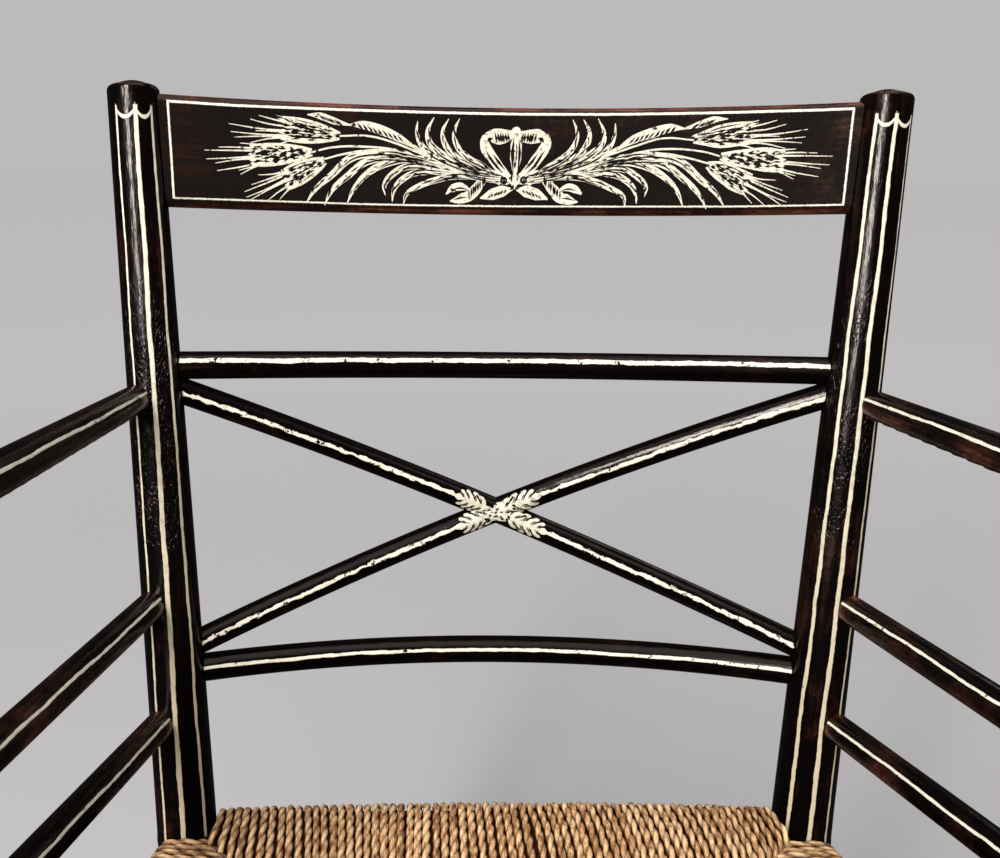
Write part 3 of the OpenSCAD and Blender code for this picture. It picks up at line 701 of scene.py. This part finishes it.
def makePanel(number, material):
    panel, chance = Panel(number), random.Random(seat["seed"] + number)
    bm = bmesh.new()
    straight = bm.verts.layers.float_vector.new("straight")
    tone, groove, gap = (bm.verts.layers.float.new(name) for name in ("tone", "groove", "gap"))
    count = int((panel.long - 2 * seat["first"]) / seat["pitch"]) + 1
    pitch = (panel.long - 2 * seat["first"]) / (count - 1)
    side = Vector((*panel.way, 0))
    for index in range(count):
        loose = seat["uneven"] if 0 < index < count - 1 else 0
        place = seat["first"] + index * pitch + chance.uniform(-loose, loose)
        rings = ringsAlong(*panel.cord(place))
        ends = seat["ends"] * max(0, 1 - min(place, panel.long - place) / seat["endsLength"])
        thick, shade = chance.uniform(*seat["thick"]), chance.random()
        phase, offset = Matrix.Rotation(chance.random() * math.pi, 2), chance.random() * 9
        already = len(bm.verts)
        bm.from_mesh(twistedCord(len(rings)))
        bm.verts.ensure_lookup_table()
        for vert in bm.verts[already:]:
            middle, way, far = rings[min(round(vert.co.z / seat["ring"]), len(rings) - 1)]
            out = way.cross(side).normalized()
            x, y = phase @ vert.co.xy
            fat = thick * (1 + 0.16 * noise.noise(Vector((offset, far * 45, 0))))
            vert[straight] = (x, y, far + offset)
            vert[tone] = shade + 0.45 * noise.noise(Vector((offset, far * 22, 3)))
            # how deep a point lies in the groove between the plies, for painted shade there
            vert[groove] = (1 - vert.co.xy.length / (seat["cord"] / 2)) / seat["groove"]
            # painted shade: darker down each cord's sides into the gaps, over the side panels, where
            # the cords turn down and near the posts
            extraShade = seat["extraShade"] * panel.isSide + seat["turned"] * max(-way.z, 0) + ends
            vert[gap] = min(max(0.7 - y / seat["cord"] * 2.2 + extraShade, 0), 1)
            vert.co = middle + (out.cross(way) * x + out * y) * fat
    piece = makePiece("seatCords." + ("front", "right", "back", "left")[number], bm, material)
    piece.data.polygons.foreach_set("use_smooth", [True] * len(piece.data.polygons))
    piece.visible_glossy = False  # or the rails get a yellow sheen
    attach(piece, "root")


straw = {
    "light": (0.97, 0.635, 0.336, 1),
    "tan": (0.545, 0.268, 0.109, 1),
    "brown": (0.205, 0.09, 0.038, 1),
    # painted shade in the gaps and grooves of the cord, and on the stuffing
    "deep": (0.034, 0.0085, 0.0025, 1),
    "roughness": 0.5,
    "fibres": (1500, 1500, 90),
    "mottle": (240, 240, 110),
}


def cordFinish():
    finish = Finish("twistedCord")
    straight = finish.attribute("straight", "Vector")
    tone, groove, gap = (finish.attribute(name, "Fac") for name in ("tone", "groove", "gap"))
    fibres = straight.stretched(*straw["fibres"]).noise(1, 3, 0.6)
    mottle = straight.stretched(*straw["mottle"]).noise(1, 3, 0.55)
    dry = (fibres - 0.5) * 1.3 + (mottle - 0.5) * 1.3 + (tone - 0.5) * 0.2 + 0.56
    color = dry.ramp(0.42, 0.74).blend(straw["tan"], straw["light"])
    color = dry.ramp(0.48, 0.16).blend(color, straw["brown"])
    # painted shade in the grooves between the plies
    color = (groove ** 2.2 * 0.62).blend(color, straw["deep"])
    # painted shade in the gaps between the cords
    color = (gap ** 1.3 * 0.94).blend(color, straw["deep"])
    finish.set(Base_Color=color, Roughness=straw["roughness"] + fibres * 0.2, Specular_IOR_Level=0.3)
    finish.relief(fibres, 0.0004)
    return finish.material


# The stuffing under the cords is painted near black, as painted shade seen through the gaps
def stuffingFinish():
    finish = Finish("strawStuffingInShade")
    strands = finish.place.noise(700, 4, 0.6)
    color = strands.ramp(0.4, 0.7).blend(straw["deep"], [c * 0.22 for c in straw["brown"][:3]] + [1])
    finish.set(Base_Color=color, Roughness=strands * 0.2 + 0.75, Specular_IOR_Level=0.05)
    finish.relief(strands, 0.0008)
    return finish.material


def makeStuffing():
    bm = bmesh.new()
    bm.from_mesh(nodes["woven_seat"].data)
    bmesh.ops.remove_doubles(bm, verts=bm.verts[:], dist=0.00001)
    bm.normal_update()
    for vert in bm.verts:
        vert.co -= vert.normal * seat["inside"]
    stuffing = makePiece("seatStuffing", bm, stuffingFinish())
    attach(stuffing, "root")
    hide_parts("woven_seat")


cordMaterial = cordFinish()
for number in range(4):
    makePanel(number, cordMaterial)
makeStuffing()
print("seat woven")

# The paints of the ornament
paints = {
    "creamLift": 0.0002,  # the middle of a cream stroke in front of the wood
    "inkLift": 0.00031,
    "flat": 0.012,  # thickness of a stroke against its width
    "lost": 0.36,
    "light": (0.69, 0.645, 0.515, 1),
    "thin": (0.2, 0.16, 0.1, 1),  # where the wood shows through
    "ink": (0.004, 0.0026, 0.0022, 1),
    "bold": 1.65,  # how much wider than drawn the dark strokes are
}
tapers = {  # the width of a stroke along its length
    "leaf": lambda share: 0.12 + 0.88 * math.sin(math.pi * share) ** 0.7,
    "blade": lambda share: 0.1 + 0.9 * math.sin(math.pi * min(0.72 * share ** 0.8, 1)),
    "even": lambda share: 0.75 + 0.25 * math.sin(math.pi * share),
    "fine": lambda share: 1 - 0.72 * share,
    "lobe": lambda share: math.sin(math.pi * (0.18 + 0.7 * share)),
}


class Brush:  # strokes drawn flat in millimetres, then laid on the wood
    def __init__(self, seed, bold=1.0, shake=0.45):
        self.bold, self.shake = bold, shake  # how wide, and how unlike its mirror image
        self.curve = curve = bpy.data.curves.new("strokes", "CURVE")
        curve.dimensions, curve.fill_mode, curve.use_fill_caps = "2D", "NONE", True
        curve.bevel_depth, curve.bevel_resolution, curve.resolution_u = 0.001, 0, 4
        self.vary = random.Random(seed).uniform

    def stroke(self, points, width, shape="leaf"):
        spline = self.curve.splines.new("BEZIER")
        spline.bezier_points.add(len(points) - 1)
        for number, ((x, y), knot) in enumerate(zip(points, spline.bezier_points)):
            knot.co = (x / 1000, y / 1000, 0)
            knot.handle_left_type = knot.handle_right_type = "AUTO"
            knot.radius = width / 2 * tapers[shape](number / (len(points) - 1)) * self.bold

    def both(self, points, width, shape="leaf", shake=None):  # left, and mirrored on the right
        self.stroke(points, width, shape)
        shake = shake or self.shake
        mirrored = [(-x + self.vary(-shake, shake), y + self.vary(-shake, shake))
                    for x, y in points]
        self.stroke(mirrored, width * self.vary(0.9, 1.1), shape)

    def lay(self, name, material, lift, place):  # place tells where a flat point lies
        drawn = addObject(name, self.curve)
        graph = bpy.context.evaluated_depsgraph_get()
        mesh = bpy.data.meshes.new_from_object(drawn.evaluated_get(graph))
        bpy.data.objects.remove(drawn)
        bm = bmesh.new()
        bm.from_mesh(mesh)
        bmesh.ops.remove_doubles(bm, verts=bm.verts[:], dist=0.000001)
        for vert in bm.verts:
            vert.co = place(vert.co.x, vert.co.y, lift + vert.co.z * paints["flat"])
        bmesh.ops.recalc_face_normals(bm, faces=bm.faces[:])
        for face in bm.faces:
            face.smooth = False
        piece = makePiece(name, bm, material)
        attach(piece, "root")


def creamFinish(name, lost):
    finish = Finish(name)
    kept = finish.place.noise(240, 4, 0.7).ramp(lost, lost + 0.04)
    tone = finish.place.noise(190, 3).ramp(0.44, 0.9).blend(paints["light"], cream["aged"])
    tone = (finish.place.noise(430, 3, 0.65).ramp(0.46, 0.3) * 0.75).blend(tone, paints["thin"])
    finish.set(Base_Color=kept.blend(lacquer["black"], tone), Roughness=cream["roughness"])
    finish.relief(finish.place.noise(600, 2), 0.0002)
    return finish.material


def inkFinish():
    finish = Finish("ornamentInk")
    tone = finish.place.noise(300, 2).ramp(0.45, 0.85).blend(paints["ink"], lacquer["brown"])
    finish.set(Base_Color=tone, Roughness=0.45, Specular_IOR_Level=0.12)
    return finish.material


# Wheat ears and the tips of their awns, in millimetres
ears = [
    {"base": (-103, 11.5), "end": (-140, 15), "width": 12.5, "grain": (1.15, 0.17), "tips": (
        (-139, 21.3), (-149, 20.8), (-154, 18.6), (-166, 15.6), (-151, 12.5), (-165, 11.4),
        (-163, 8.5), (-154, 6), (-140, 5.2))},
    {"base": (-119, 2), "end": (-158, -1.5), "width": 11.5, "grain": (1.65, 0.11), "tips": (
        (-172, 2.7), (-160, 5.4), (-180, 0.7), (-179, -4), (-174, -6), (-173, -10),
        (-161, -9.4), (-160, -11.5))},
    {"base": (-111.5, -2.2), "end": (-137, -15), "width": 11.5, "grain": (1.25, 0.17), "tips": (
        (-150, -11.5), (-154, -17), (-158, -21), (-157, -24), (-155, -25.5), (-145, -25.5),
        (-138, -24.5))},
]
stems = [
    [(-103, 11.5), (-86, 12), (-69, 8), (-58, 4), (-30, -4), (0, -12)],
    [(-119, 2), (-108, 5), (-85, 6), (-70, 4.7), (-40, -2), (-5, -11)],
    [(-112, -1.5), (-100.5, 1.7), (-85, 4), (-65, 2), (-35, -5), (-5, -12)],
]
# Widths of leaves, and the leaves from their tips inward
longLeaves = [
    (4.6, [(-122.6, -26), (-117, -18), (-108, -10.4), (-97, -0.7), (-85, 2.5), (-70, 2.2), (-40, -4)]),
    (4.2, [(-112, -27), (-108, -19), (-98, -10), (-87, -2), (-70, 0), (-38, -6)]),
    (4.2, [(-99, -26), (-94.5, -17), (-85.4, -7.6), (-74, -2.3), (-63, -0.5), (-34, -7)]),
    (3.8, [(-76.4, -20.7), (-77, -15.5), (-73, -9.5), (-62.6, -4.2), (-32, -8)]),
    (3.6, [(-72.3, -24.2), (-71.3, -17.5), (-66.4, -11.6), (-58, -7.7), (-30, -8.5)]),
    (3.6, [(-65.7, -25.7), (-64, -20), (-56.7, -15.2), (-44.5, -11), (-36.3, -9.4), (-15, -10)]),
    (3.4, [(-57.6, 21), (-58, 14.4), (-55, 7.5), (-48, 2.2), (-36, -3), (-15, -9)]),
    (4.1, [(-48, 23.3), (-51.7, 15.4), (-50.4, 9.2), (-44.6, 3.8), (-34.8, -1.5), (-14, -9)]),
    (3.7, [(-39.4, 22.6), (-42.8, 15.6), (-41, 7.8), (-34, 0.9), (-23, -5.2), (-8, -10)]),
    (3.5, [(-33, 23), (-36, 15.7), (-34.5, 8), (-27.4, 1), (-18.3, -3.6), (-8.3, -13)]),
]


def shifted(points, off, shrink):  # a line beside another, cut short at both ends
    moved = []
    for number, (x, y) in enumerate(points):
        a, b = points[max(number - 1, 0)], points[min(number + 1, len(points) - 1)]
        way = (Vector(b) - Vector(a)).normalized()
        moved.append((x - way.y * off, y + way.x * off))
    first, last = Vector(moved[0]), Vector(moved[-1])
    moved[0] = tuple(first.lerp(Vector(moved[1]), shrink))
    moved[-1] = tuple(last.lerp(Vector(moved[-2]), shrink))
    return moved


def paintEar(light, dark, ear):
    base, end = Vector(ear["base"]), Vector(ear["end"])
    way, long, half = (end - base).normalized(), (end - base).length, ear["width"] / 2
    across = Vector((-way.y, way.x))

    def inEar(share, off):
        return tuple(base + way * long * share + across * off * half)

    def swell(share):
        return math.sin(math.pi * min(share * 0.62 + 0.06, 1)) ** 0.8

    for off in (-1, 1):
        light.both([inEar(s, off * swell(s)) for s in (0, 0.18, 0.4, 0.65, 0.9)], 1.5, "even")
    thick, reach = ear["grain"]
    for row in range(7):
        for column in (-0.72, -0.43, -0.14, 0.15, 0.44, 0.73):
            share = 0.07 + row * 0.125 + light.vary(-0.04, 0.04)
            off = column * swell(share) + light.vary(-0.07, 0.07)
            grain = [inEar(share + reach * s, off * o) for s, o in ((-0.3, 0.86), (0.2, 1), (0.7, 1.1))]
            light.both(grain, thick * light.vary(0.8, 1.25), shake=0.35)
    for tip in ear["tips"]:
        far, side = (Vector(tip) - base).dot(way) / long, (Vector(tip) - base).dot(across) / half
        start = max(0.2, min(0.75, far - 0.5))
        side = max(-0.9, min(0.9, side * 0.75))
        bend = side * 1.08 + light.vary(-0.14, 0.14)
        light.both([inEar(start, side * 0.8), inEar((start + far) / 2, bend), tip], 1.25, "fine", 0.3)
    for row in range(6):
        for column in (-0.5, 0, 0.5):
            share = 0.12 + row * 0.13 + dark.vary(-0.05, 0.05)
            off = (column + dark.vary(-0.2, 0.2)) * swell(share)
            dash = [inEar(share + s, off * o) for s, o in ((0, 0.92), (0.06, 1), (0.12, 1.05))]
            dark.both(dash, dark.vary(0.6, 1.3), shake=0.35)


def along(points, share):  # a point on a line and the direction there
    at = share * (len(points) - 1)
    number = min(int(at), len(points) - 2)
    first, second = Vector(points[number]), Vector(points[number + 1])
    return first.lerp(second, at - number), (second - first).normalized()


def flecks(dark, points, wide, count, size=0.62):  # short dark dashes inside a stroke
    for step in range(count):
        middle, way = along(points, 0.12 + 0.8 * (step + dark.vary(0.2, 0.8)) / count)
        middle += Vector((-way.y, way.x)) * dark.vary(-0.32, 0.32) * wide
        half = way * dark.vary(1.2, 3.4)
        dark.both([tuple(middle - half), tuple(middle), tuple(middle + half)],
                  size * dark.vary(0.6, 1.3))


def hatch(dark, start, step, stroke, count, width):  # a row of equal dark strokes
    for number in range(count):
        x, y = start[0] + step[0] * number, start[1] + step[1] * number
        middle = (x + stroke[0] / 2 + dark.vary(-0.3, 0.3), y + stroke[1] / 2)
        dark.both([(x, y), middle, (x + stroke[0], y + stroke[1])],
                  width * dark.vary(0.75, 1.2), shake=0.25)


def paintTablet():
    light, dark = Brush(21), Brush(22, paints["bold"], 0.3)
    for ear in ears:
        paintEar(light, dark, ear)
    for stem in stems:
        light.both(stem, 1.2, "even")
    for width, leaf in longLeaves:
        light.both(leaf, width, "blade")
        dark.both(shifted(leaf[2:], -0.95, 0.45), 0.6)
        dark.both(shifted(leaf[-3:], 1.1, 0.3), 0.6)
        flecks(dark, leaf, width * 0.85, 2 * len(leaf) + 1, size=0.55)
    # The turned leaf over the ears
    light.both([(-121.5, 22.5), (-114, 22), (-106, 19.5), (-96, 17.5)], 4.2)
    light.both([(-98, 17.7), (-90, 18), (-80, 15.8), (-69, 11.6), (-57.5, 5.5)], 5.6)
    light.both([(-60, 7), (-48, 1), (-30, -5)], 2.2, "fine")
    hatch(dark, (-115, 22.6), (2.1, -0.55), (3.6, -2.9), 6, 0.75)
    hatch(dark, (-92.5, 19), (2.9, -0.75), (3.4, -4), 9, 0.8)
    # The bundle where everything meets, with dark slits
    for y in (-6.5, -8, -9.5, -11):
        spine = [(-38, y * 0.45 - 1), (-24, y * 0.8 - 0.8), (-10, y * 0.95 - 1.2), (-3, -12.2)]
        light.both(spine, 2.6, "even")
        dark.both([(-34, y * 0.52 - 1.4), (-22, y * 0.82 - 1.7), (-8, y * 0.98 - 1.8)], 0.5)
        flecks(dark, spine, 2, 4)
    flecks(dark, [(-74, 4), (-55, 0), (-36, -4.5)], 8, 12)
    # The bow of ribbon: two loops with shaded tops
    loop = [(-3.6, -10), (-7.2, -6.2), (-12.4, 0.2), (-16.4, 6), (-18.2, 9.8), (-16.8, 13.8)]
    light.both(loop, 5.8, "even")
    light.both([(-18.2, 11.2), (-14.2, 13.2), (-9.5, 13), (-4.6, 14), (0, 16.2)], 8.4)
    light.both([(-17.6, 12.6), (-14.2, 15.8), (-9.2, 16.4), (-3.8, 15.6), (0, 16.4)], 2.6, "even")
    light.both([(-12, 16), (-16.4, 14.4), (-18.9, 10.4), (-18.9, 6), (-16.4, 1.8)], 3, "even")
    hatch(dark, (-12, 15.4), (1.45, 0), (1.2, -5.6), 6, 0.95)
    hatch(dark, (-9.6, 13), (1.6, 0.3), (1.4, -2.6), 3, 1.1)
    dark.both([(-16.6, 10.4), (-15.2, 11.6), (-13.4, 12.2)], 1.5)
    dark.both([(-17.4, 5.6), (-14.6, 1.2), (-10.8, -3.4), (-7.2, -7)], 1)
    dark.both([(-13.2, 3.6), (-9.6, -1), (-5.6, -5.4)], 1)
    light.stroke([(0.3, 17.8), (0.5, 9), (0.3, 1), (0, -9.7)], 7.2)
    light.stroke([(-1.6, 16.2), (0.4, 17.4), (2.4, 16.2)], 3, "even")
    dark.stroke([(-0.9, 12.6), (-1.7, 4), (-0.9, -6.8)], 1.15)
    dark.stroke([(2, 11.6), (2.6, 4), (1.6, -6.6)], 1.05)
    flecks(dark, [(0.5, 10), (0.7, 3), (0.4, -4)], 1.2, 4, size=0.7)
    # The knot, with a dark ring on each side
    light.stroke([(0, -7.2), (0.2, -11.4), (0, -16)], 7.4)
    for x, y in ((-6.3, -11.3), (5.4, -10.9)):
        light.stroke([(x - 2.6, y + 0.4), (x, y), (x + 2.6, y - 0.4)], 4.8, "even")
        ring = [(x + 1.6 * math.cos(a), y + 1.6 * math.sin(a)) for a in (0, 1.3, 2.6, 3.9, 5.2, 6.4)]
        dark.stroke(ring, 0.8, "even")
        dark.stroke([(x - 0.5, y - 0.5), (x, y), (x + 0.5, y + 0.5)], 0.8)
    dark.stroke([(-2.9, -16.6), (-1.2, -15.4), (-0.4, -13.4)], 1)
    dark.stroke([(3, -13), (1.9, -14.6), (2.3, -16.4)], 1.1)
    dark.stroke([(-1.5, -12.6), (-1.9, -10.2), (-1.1, -8)], 0.7)
    dark.stroke([(1.1, -8.6), (1.7, -10.4), (1.2, -11.6)], 0.6)
    # Two leaves under the knot, and the tails of the ribbon
    light.both([(-0.8, -16), (-7, -17.2), (-13.2, -19.2), (-20.2, -21.5)], 7)
    hatch(dark, (-4.6, -16.2), (-1.9, -0.6), (-2, -2.4), 6, 0.75)
    tail = [(-18.6, -8.6), (-20.3, -12.6), (-23, -16.6), (-27, -20.2), (-33, -22.4), (-38, -23.2)]
    light.both(tail, 6.4)
    light.both([(-18.2, -8.4), (-19.6, -11.6), (-21.8, -15)], 5.6, "even")
    hatch(dark, (-17.6, -8.4), (-1.35, -1.15), (0.2, -5.6), 8, 0.85)
    light.both([(-25.4, -17.4), (-31.6, -15), (-36.2, -15.9), (-40.6, -19.4)], 5)
    dark.both([(-27, -17), (-32, -15.8), (-37, -17)], 0.65)
    light.both([(-24, -20.4), (-30.4, -20.6), (-37.4, -23.4)], 4.4)
    dark.both([(-27.6, -20.8), (-32, -21.4), (-36, -22.6)], 0.65)
    arc, face = bows["tablet"]["arc"], tablet["thick"] / 2

    def place(x, y, lift):
        return arc.point(x + tablet["aside"], y, face + lift)

    light.lay("tabletPainting", creamFinish("tabletPaint", paints["lost"]), paints["creamLift"], place)
    dark.lay("tabletInk", inkFinish(), paints["inkLift"], place)


paintTablet()

# Leaves at the crossing: brace, start, tip and half the width
crossing = {
    "upperLeft": (fallingArc, -9, -30, 6.6),
    "lowerRight": (fallingArc, 9.5, 36.5, 6.6),
    "lowerLeft": (risingArc, -4, -28.5, 6.9),
    "upperRight": (risingArc, 4, 31.5, 6.9),
}
knots = {"upperRight": (-9.5, 12), "lowerRight": (-3, 8.5)}
lobeLines = (  # a lobe, its vein and the notch after it, in shares of the leaf's size
    ((0, 0), (0.09, 0.45), (0.18, 0.8), (0.26, 1)),
    ((0.07, 0.15), (0.15, 0.5), (0.21, 0.75)),
    ((0.35, 0.98), (0.28, 0.78), (0.19, 0.45), (0.12, 0.18)),
)


def paintLeaf(light, dark, base, tip, half):  # an oak leaf, lobe by lobe
    long = tip - base
    light.stroke([(base, 0), (base + long * 0.45, 0.3), (base + long * 0.9, 0)], half * 0.62, "even")
    light.stroke([(base + long * 0.62, 0), (base + long * 0.85, 0.2), (tip, 0)], half * 0.66)
    for share, reach in ((0, 0.8), (0.2, 1), (0.4, 0.96), (0.58, 0.7)):
        for side in (-1, 1):
            x, y = base + long * (share + light.vary(-0.025, 0.025)), side * half * reach
            lobe, vein, notch = ([(x + long * s, y * o) for s, o in line] for line in lobeLines)
            light.stroke(lobe, half * light.vary(0.56, 0.7), "lobe")
            dark.stroke(vein, 0.5)
            dark.stroke(notch, 0.95, "fine")


def paintKnot(light, dark, start, end):  # a rough patch of paint where the braces cross
    for y in (-3.4, -0.8, 1.8, 4.2):
        middle = start + (end - start) * 0.4
        light.stroke([(start, y * 0.6), (middle, y * 1.05), (end, y * 0.5)], 3.2, "even")
    for _ in range(16):
        x, y = dark.vary(start, end), dark.vary(-3.8, 4.6)
        lean, long = dark.vary(-1.4, 1.4), dark.vary(0.5, 2)
        scratch = [(x - long, y - lean), (x, y + 0.3), (x + long, y + lean)]
        dark.stroke(scratch, dark.vary(0.5, 1.2))


def paintCrossing():
    material, ink = creamFinish("crossingPaint", 0.3), inkFinish()
    for name, (arc, base, tip, half) in crossing.items():
        light, dark = Brush(31), Brush(32, paints["bold"])
        paintLeaf(light, dark, base, tip, half)
        if name in knots:
            paintKnot(light, dark, *knots[name])

        def place(x, y, lift):
            far, angle = braces["radius"] + lift, y / braces["radius"]
            return arc.point(arc.crossing + x, far * math.sin(angle), far * math.cos(angle))

        light.lay("crossingLeaf." + name, material, paints["creamLift"], place)
        dark.lay("crossingInk." + name, ink, paints["inkLift"], place)


paintCrossing()
print("ornament painted")

# The pale room: a floor as far as the horizon, a world and the lights
studio = {
    "floor": (0.642, 0.627, 0.632, 1),
    "reach": 60,  # radius of the floor
    "near": 0.79,  # painted shadow: tone of the floor round the chair against the far floor
    "nearAt": (4.5, 0.4),  # where that tone fades out, and where it is full
    "room": (0.505, 0.492, 0.498, 1),
    "gloss": 0.05,  # how much of the room a gloss reflects
    "fill": 0.66,  # and how much of it lights the rest
    "sun": {"power": 2.0, "angle": 42, "turn": (38, 8, -28)},  # degrees
    "aim": (0, 0.1, 0.6),  # where the other lights point
    "softbox": {"place": (-0.75, -1.25, 1.45), "size": (0.18, 1.1), "power": 31},
    "behind": {"place": (1.2, 1.7, 1.9), "size": (0.3, 1.0), "power": 1.3, "glossOnly": True},
    "overhead": {"place": (0.1, -0.2, 2.6), "size": (2.0, 2.0), "power": 12, "glossOnly": True},
}


def makeFloor():
    finish = Finish("paleFloor")
    x, y, _ = finish.place.parts()
    # the floor round the chair is painted darker, as the chair's painted shadow
    near = (x * x + y * y).math("SQRT").ramp(*studio["nearAt"]) + finish.place.shaken(0.06, 1.5)
    tone = near.blend(studio["floor"], [c * studio["near"] for c in studio["floor"][:3]] + [1])
    finish.set(Base_Color=tone, Roughness=0.85, Specular_IOR_Level=0.15)
    bm = bmesh.new()
    bmesh.ops.create_circle(bm, cap_ends=True, segments=96, radius=studio["reach"])
    floor = makePiece("studioFloor", bm, finish.material)
    floor.visible_glossy = False  # the black lacquer would reflect it as grey


def addLight(name, settings):
    data = bpy.data.lights.new(name, "AREA")
    data.shape = "RECTANGLE"
    data.size, data.size_y = settings["size"]
    data.energy = settings["power"]
    light = addObject(name, data)
    aim = Vector(studio["aim"]) - Vector(settings["place"])
    light.location = settings["place"]
    light.rotation_euler = aim.to_track_quat("-Z", "Y").to_euler()
    light.visible_camera = False
    light.visible_diffuse = not settings.get("glossOnly")


def lightStudio():
    sun = addObject("studioSun", bpy.data.lights.new("studioSun", "SUN"))
    sun.data.energy = studio["sun"]["power"]
    sun.data.angle = math.radians(studio["sun"]["angle"])
    sun.visible_glossy = False
    sun.rotation_euler = [math.radians(a) for a in studio["sun"]["turn"]]
    for name in ("softbox", "behind", "overhead"):
        addLight(name, studio[name])
    world = bpy.data.worlds.new("studioRoom")
    bpy.context.scene.world = world
    world.use_nodes = True
    background = world.node_tree.nodes["Background"]
    rays = world.node_tree.nodes.new("ShaderNodeLightPath").outputs
    gloss, fill = Wire(rays["Is Glossy Ray"]), Wire(rays["Is Diffuse Ray"])
    strength = 1 - gloss * (1 - studio["gloss"]) - fill * (1 - studio["fill"])
    world.node_tree.links.new(strength.socket, background.inputs["Strength"])
    background.inputs["Color"].default_value = studio["room"]
    bpy.context.scene.view_settings.view_transform = "Standard"


makeFloor()
lightStudio()
print("studio lit")
